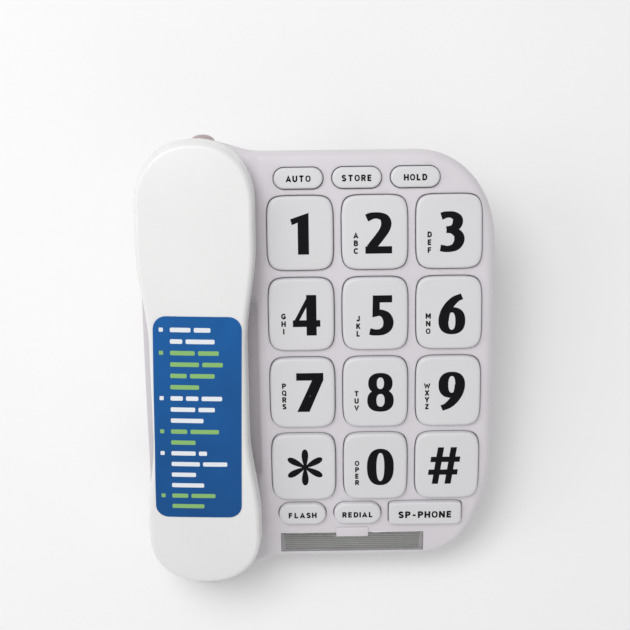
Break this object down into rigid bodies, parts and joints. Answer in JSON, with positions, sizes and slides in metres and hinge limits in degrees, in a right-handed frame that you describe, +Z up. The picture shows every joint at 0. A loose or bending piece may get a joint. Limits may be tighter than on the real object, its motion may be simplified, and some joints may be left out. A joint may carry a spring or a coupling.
{
  "type": "big button telephone with handset and base",
  "caption": "Corded desk telephone with large square number keys on a sloping base and a white handset lying in a cradle on its left.",
  "frame": {"origin": "on the supporting surface, under the middle of the telephone", "axes": "+Z up, +Y towards the back edge where the indicator lens is, +X from the handset towards the keypad"},
  "size_m": [0.166, 0.2196, 0.0896],
  "materials": {
    "base_plastic": "satin moulded ABS, pale lilac grey",
    "handset_plastic": "smooth white ABS",
    "key_plastic": "satin light grey keycap plastic",
    "clear_window": "clear polished acrylic",
    "card": "matt grey card with ruled lines",
    "lens": "milky translucent pink",
    "lamp_red": "red epoxy lamp",
    "silicone": "matt silicone rubber",
    "foot_rubber": "matt black rubber",
    "circuit_board": "green solder mask",
    "speaker_black": "matt black",
    "socket_black": "satin black nylon",
    "socket_clear": "natural white nylon",
    "switch_plastic": "satin grey",
    "label_film": "printed blue polyester film",
    "screw_steel": "zinc plated",
    "bare_metal": "bare metal"
  },
  "bodies": {
    "base": {"base_bottom_shell": "base_plastic", "base_handset_jack": "socket_black", "base_screw_1": "screw_steel", "base_screw_2": "screw_steel", "base_screw_3": "screw_steel", "base_screw_4": "screw_steel", "base_speaker": "speaker_black", "base_top_shell": "base_plastic", "foot_1": "foot_rubber", "foot_2": "foot_rubber", "foot_3": "foot_rubber", "foot_4": "foot_rubber", "hook_switch": "speaker_black", "index_card": "card", "index_window": "clear_window", "keypad_mat": "silicone", "line_jack": "socket_black", "main_circuit_board": "circuit_board", "ring_indicator_led": "lamp_red", "ring_indicator_lens": "lens", "ringer_sounder": "speaker_black", "speakerphone_microphone": "bare_metal"},
    "handset": {"handset_back_shell": "handset_plastic", "handset_front_shell": "handset_plastic", "earpiece_capsule": "speaker_black", "handset_microphone": "bare_metal", "handset_weight": "bare_metal", "handset_board": "circuit_board", "handset_jack": "socket_clear", "handset_screw_1": "screw_steel", "handset_screw_2": "screw_steel", "handset_label": "label_film"},
    "key_1": {"key_1": "key_plastic"},
    "key_2": {"key_2": "key_plastic"},
    "key_3": {"key_3": "key_plastic"},
    "key_4": {"key_4": "key_plastic"},
    "key_5": {"key_5": "key_plastic"},
    "key_6": {"key_6": "key_plastic"},
    "key_7": {"key_7": "key_plastic"},
    "key_8": {"key_8": "key_plastic"},
    "key_9": {"key_9": "key_plastic"},
    "key_star": {"key_star": "key_plastic"},
    "key_0": {"key_0": "key_plastic"},
    "key_hash": {"key_hash": "key_plastic"},
    "key_auto": {"key_auto": "key_plastic"},
    "key_store": {"key_store": "key_plastic"},
    "key_hold": {"key_hold": "key_plastic"},
    "key_flash": {"key_flash": "key_plastic"},
    "key_redial": {"key_redial": "key_plastic"},
    "key_speakerphone": {"key_speakerphone": "key_plastic"},
    "hook_plunger": {"hook_plunger": "key_plastic"},
    "volume_slider": {"volume_slider": "switch_plastic"},
    "ringer_switch": {"ringer_switch": "switch_plastic"},
    "tone_pulse_switch": {"tone_pulse_switch": "switch_plastic"},
    "handset_volume_switch": {"handset_volume_switch": "switch_plastic"}
  },
  "joints": [
    {"name": "key_1_press", "type": "slide", "parent": "base", "child": "key_1", "axis": [0, 0.1368, -0.9906], "range_m": [0, 0.0015], "stiffness_N_per_m": 350, "springref_m": -0.0015},
    {"name": "key_2_press", "type": "slide", "parent": "base", "child": "key_2", "axis": [0, 0.1368, -0.9906], "range_m": [0, 0.0015], "stiffness_N_per_m": 350, "springref_m": -0.0015},
    {"name": "key_3_press", "type": "slide", "parent": "base", "child": "key_3", "axis": [0, 0.1368, -0.9906], "range_m": [0, 0.0015], "stiffness_N_per_m": 350, "springref_m": -0.0015},
    {"name": "key_4_press", "type": "slide", "parent": "base", "child": "key_4", "axis": [0, 0.1989, -0.98], "range_m": [0, 0.0015], "stiffness_N_per_m": 350, "springref_m": -0.0015},
    {"name": "key_5_press", "type": "slide", "parent": "base", "child": "key_5", "axis": [0, 0.1989, -0.98], "range_m": [0, 0.0015], "stiffness_N_per_m": 350, "springref_m": -0.0015},
    {"name": "key_6_press", "type": "slide", "parent": "base", "child": "key_6", "axis": [0, 0.1989, -0.98], "range_m": [0, 0.0015], "stiffness_N_per_m": 350, "springref_m": -0.0015},
    {"name": "key_7_press", "type": "slide", "parent": "base", "child": "key_7", "axis": [0, 0.2603, -0.9655], "range_m": [0, 0.0015], "stiffness_N_per_m": 350, "springref_m": -0.0015},
    {"name": "key_8_press", "type": "slide", "parent": "base", "child": "key_8", "axis": [0, 0.2603, -0.9655], "range_m": [0, 0.0015], "stiffness_N_per_m": 350, "springref_m": -0.0015},
    {"name": "key_9_press", "type": "slide", "parent": "base", "child": "key_9", "axis": [0, 0.2603, -0.9655], "range_m": [0, 0.0015], "stiffness_N_per_m": 350, "springref_m": -0.0015},
    {"name": "key_star_press", "type": "slide", "parent": "base", "child": "key_star", "axis": [0, 0.3206, -0.9472], "range_m": [0, 0.0015], "stiffness_N_per_m": 350, "springref_m": -0.0015},
    {"name": "key_0_press", "type": "slide", "parent": "base", "child": "key_0", "axis": [0, 0.3206, -0.9472], "range_m": [0, 0.0015], "stiffness_N_per_m": 350, "springref_m": -0.0015},
    {"name": "key_hash_press", "type": "slide", "parent": "base", "child": "key_hash", "axis": [0, 0.3206, -0.9472], "range_m": [0, 0.0015], "stiffness_N_per_m": 350, "springref_m": -0.0015},
    {"name": "key_auto_press", "type": "slide", "parent": "base", "child": "key_auto", "axis": [0, 0.0953, -0.9955], "range_m": [0, 0.0015], "stiffness_N_per_m": 350, "springref_m": -0.0015},
    {"name": "key_store_press", "type": "slide", "parent": "base", "child": "key_store", "axis": [0, 0.0953, -0.9955], "range_m": [0, 0.0015], "stiffness_N_per_m": 350, "springref_m": -0.0015},
    {"name": "key_hold_press", "type": "slide", "parent": "base", "child": "key_hold", "axis": [0, 0.0953, -0.9955], "range_m": [0, 0.0015], "stiffness_N_per_m": 350, "springref_m": -0.0015},
    {"name": "key_flash_press", "type": "slide", "parent": "base", "child": "key_flash", "axis": [0, 0.3601, -0.9329], "range_m": [0, 0.0015], "stiffness_N_per_m": 350, "springref_m": -0.0015},
    {"name": "key_redial_press", "type": "slide", "parent": "base", "child": "key_redial", "axis": [0, 0.3601, -0.9329], "range_m": [0, 0.0015], "stiffness_N_per_m": 350, "springref_m": -0.0015},
    {"name": "key_speakerphone_press", "type": "slide", "parent": "base", "child": "key_speakerphone", "axis": [0, 0.3607, -0.9327], "range_m": [0, 0.0015], "stiffness_N_per_m": 350, "springref_m": -0.0015},
    {"name": "handset_lift", "type": "slide", "parent": "base", "child": "handset", "axis": [0, -0.2391, 0.971], "range_m": [0, 0.12]},
    {"name": "hook_plunger_rise", "type": "slide", "parent": "base", "child": "hook_plunger", "axis": [0, -0.2391, 0.971], "range_m": [0, 0.004]},
    {"name": "speaker_volume_slide", "type": "slide", "parent": "base", "child": "volume_slider", "axis": [0, 1, 0], "range_m": [0, 0.009]},
    {"name": "ringer_switch_slide", "type": "slide", "parent": "base", "child": "ringer_switch", "axis": [1, 0, 0], "range_m": [0, 0.004]},
    {"name": "tone_pulse_switch_slide", "type": "slide", "parent": "base", "child": "tone_pulse_switch", "axis": [1, 0, 0], "range_m": [0, 0.004]},
    {"name": "handset_volume_slide", "type": "slide", "parent": "handset", "child": "handset_volume_switch", "axis": [0, 0.971, 0.2391], "range_m": [0, 0.0035]}
  ],
  "couplings": [
    {"joint": "hook_plunger_rise", "follows": "handset_lift", "ratio": 0.033333}
  ]
}
